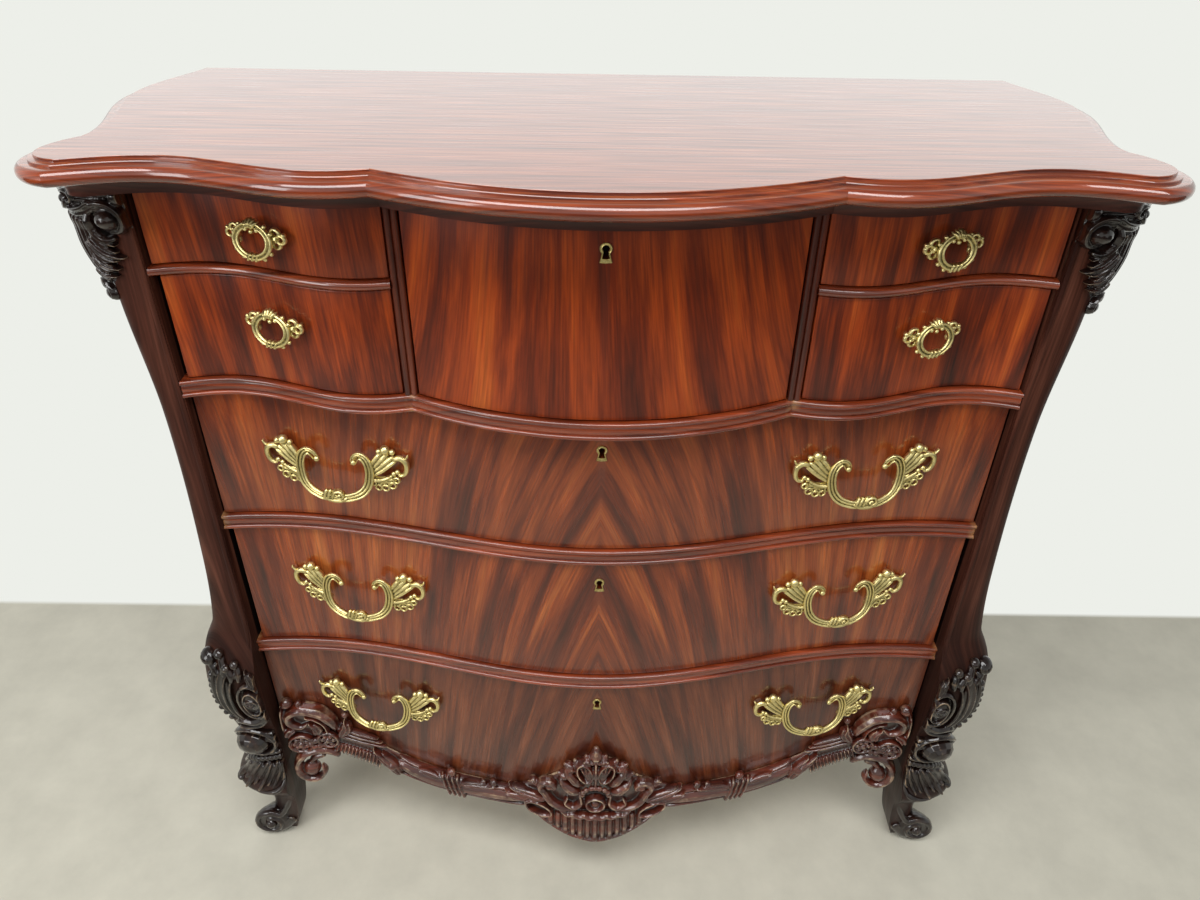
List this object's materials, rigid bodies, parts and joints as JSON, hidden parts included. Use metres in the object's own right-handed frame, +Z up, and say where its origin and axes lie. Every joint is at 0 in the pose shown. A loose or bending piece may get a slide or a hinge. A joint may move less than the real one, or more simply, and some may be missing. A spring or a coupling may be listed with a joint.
{
  "type": "serpentine chest of drawers",
  "caption": "Carved mahogany chest of drawers with a serpentine front, small drawers beside a deep bowed hat drawer, long drawers below and cast brass pulls.",
  "frame": {"origin": "on the floor under the middle of the moulded top", "axes": "front faces -Y, +X is the right-hand side seen from the front, +Z up"},
  "size_m": [1.275, 0.5596, 1.256],
  "materials": {
    "polished_mahogany": "french polished, glossy red-brown",
    "figured_mahogany_veneer": "french polished figured veneer",
    "ebonised_mahogany": "dark stained and polished",
    "carved_mahogany": "carved, stained and waxed, worn on the high points",
    "drawer_lining_oak": "planed and unfinished",
    "antique_brass": "cast and tarnished, bright on raised parts",
    "lock_iron": "dull iron"
  },
  "bodies": {
    "case": {"back_panel": "drawer_lining_oak", "base_board": "drawer_lining_oak", "front_frieze": "ebonised_mahogany", "left_capital": "ebonised_mahogany", "left_frieze": "ebonised_mahogany", "left_front_post": "ebonised_mahogany", "left_partition": "polished_mahogany", "left_rear_post": "polished_mahogany", "left_side_panel": "polished_mahogany", "left_small_shelf": "polished_mahogany", "lower_dustboard": "drawer_lining_oak", "lower_rail": "polished_mahogany", "middle_dustboard": "drawer_lining_oak", "middle_rail": "polished_mahogany", "right_capital": "ebonised_mahogany", "right_frieze": "ebonised_mahogany", "right_front_post": "ebonised_mahogany", "right_partition": "polished_mahogany", "right_rear_post": "polished_mahogany", "right_side_panel": "polished_mahogany", "right_small_shelf": "polished_mahogany", "top_board": "polished_mahogany", "top_rail": "polished_mahogany", "waist_dustboard": "drawer_lining_oak", "waist_rail": "polished_mahogany"},
    "left_upper_small_drawer": {"left_upper_small_drawer_box": "drawer_lining_oak", "left_upper_small_drawer_front": "figured_mahogany_veneer", "left_upper_small_drawer_pull": "antique_brass"},
    "left_lower_small_drawer": {"left_lower_small_drawer_box": "drawer_lining_oak", "left_lower_small_drawer_front": "figured_mahogany_veneer", "left_lower_small_drawer_pull": "antique_brass"},
    "right_upper_small_drawer": {"right_upper_small_drawer_box": "drawer_lining_oak", "right_upper_small_drawer_front": "figured_mahogany_veneer", "right_upper_small_drawer_pull": "antique_brass"},
    "right_lower_small_drawer": {"right_lower_small_drawer_box": "drawer_lining_oak", "right_lower_small_drawer_front": "figured_mahogany_veneer", "right_lower_small_drawer_pull": "antique_brass"},
    "hat_drawer": {"hat_drawer_box": "drawer_lining_oak", "hat_drawer_escutcheon": "antique_brass", "hat_drawer_front": "figured_mahogany_veneer", "hat_drawer_lock": "lock_iron"},
    "upper_long_drawer": {"upper_long_drawer_box": "drawer_lining_oak", "upper_long_drawer_escutcheon": "antique_brass", "upper_long_drawer_front": "figured_mahogany_veneer", "upper_long_drawer_left_pull": "antique_brass", "upper_long_drawer_lock": "lock_iron", "upper_long_drawer_right_pull": "antique_brass"},
    "middle_long_drawer": {"middle_long_drawer_box": "drawer_lining_oak", "middle_long_drawer_escutcheon": "antique_brass", "middle_long_drawer_front": "figured_mahogany_veneer", "middle_long_drawer_left_pull": "antique_brass", "middle_long_drawer_lock": "lock_iron", "middle_long_drawer_right_pull": "antique_brass"},
    "bottom_long_drawer": {"apron_carving": "carved_mahogany", "bottom_long_drawer_box": "drawer_lining_oak", "bottom_long_drawer_escutcheon": "antique_brass", "bottom_long_drawer_front": "figured_mahogany_veneer", "bottom_long_drawer_left_pull": "antique_brass", "bottom_long_drawer_lock": "lock_iron", "bottom_long_drawer_right_pull": "antique_brass"}
  },
  "joints": [
    {"name": "left_upper_small_drawer_slide", "type": "slide", "parent": "case", "child": "left_upper_small_drawer", "axis": [0, -1, 0], "range_m": [0, 0.25]},
    {"name": "left_lower_small_drawer_slide", "type": "slide", "parent": "case", "child": "left_lower_small_drawer", "axis": [0, -1, 0], "range_m": [0, 0.25]},
    {"name": "right_upper_small_drawer_slide", "type": "slide", "parent": "case", "child": "right_upper_small_drawer", "axis": [0, -1, 0], "range_m": [0, 0.25]},
    {"name": "right_lower_small_drawer_slide", "type": "slide", "parent": "case", "child": "right_lower_small_drawer", "axis": [0, -1, 0], "range_m": [0, 0.25]},
    {"name": "hat_drawer_slide", "type": "slide", "parent": "case", "child": "hat_drawer", "axis": [0, -1, 0], "range_m": [0, 0.25]},
    {"name": "upper_long_drawer_slide", "type": "slide", "parent": "case", "child": "upper_long_drawer", "axis": [0, -1, 0], "range_m": [0, 0.25]},
    {"name": "middle_long_drawer_slide", "type": "slide", "parent": "case", "child": "middle_long_drawer", "axis": [0, -1, 0], "range_m": [0, 0.25]},
    {"name": "bottom_long_drawer_slide", "type": "slide", "parent": "case", "child": "bottom_long_drawer", "axis": [0, -1, 0], "range_m": [0, 0.25]}
  ]
}
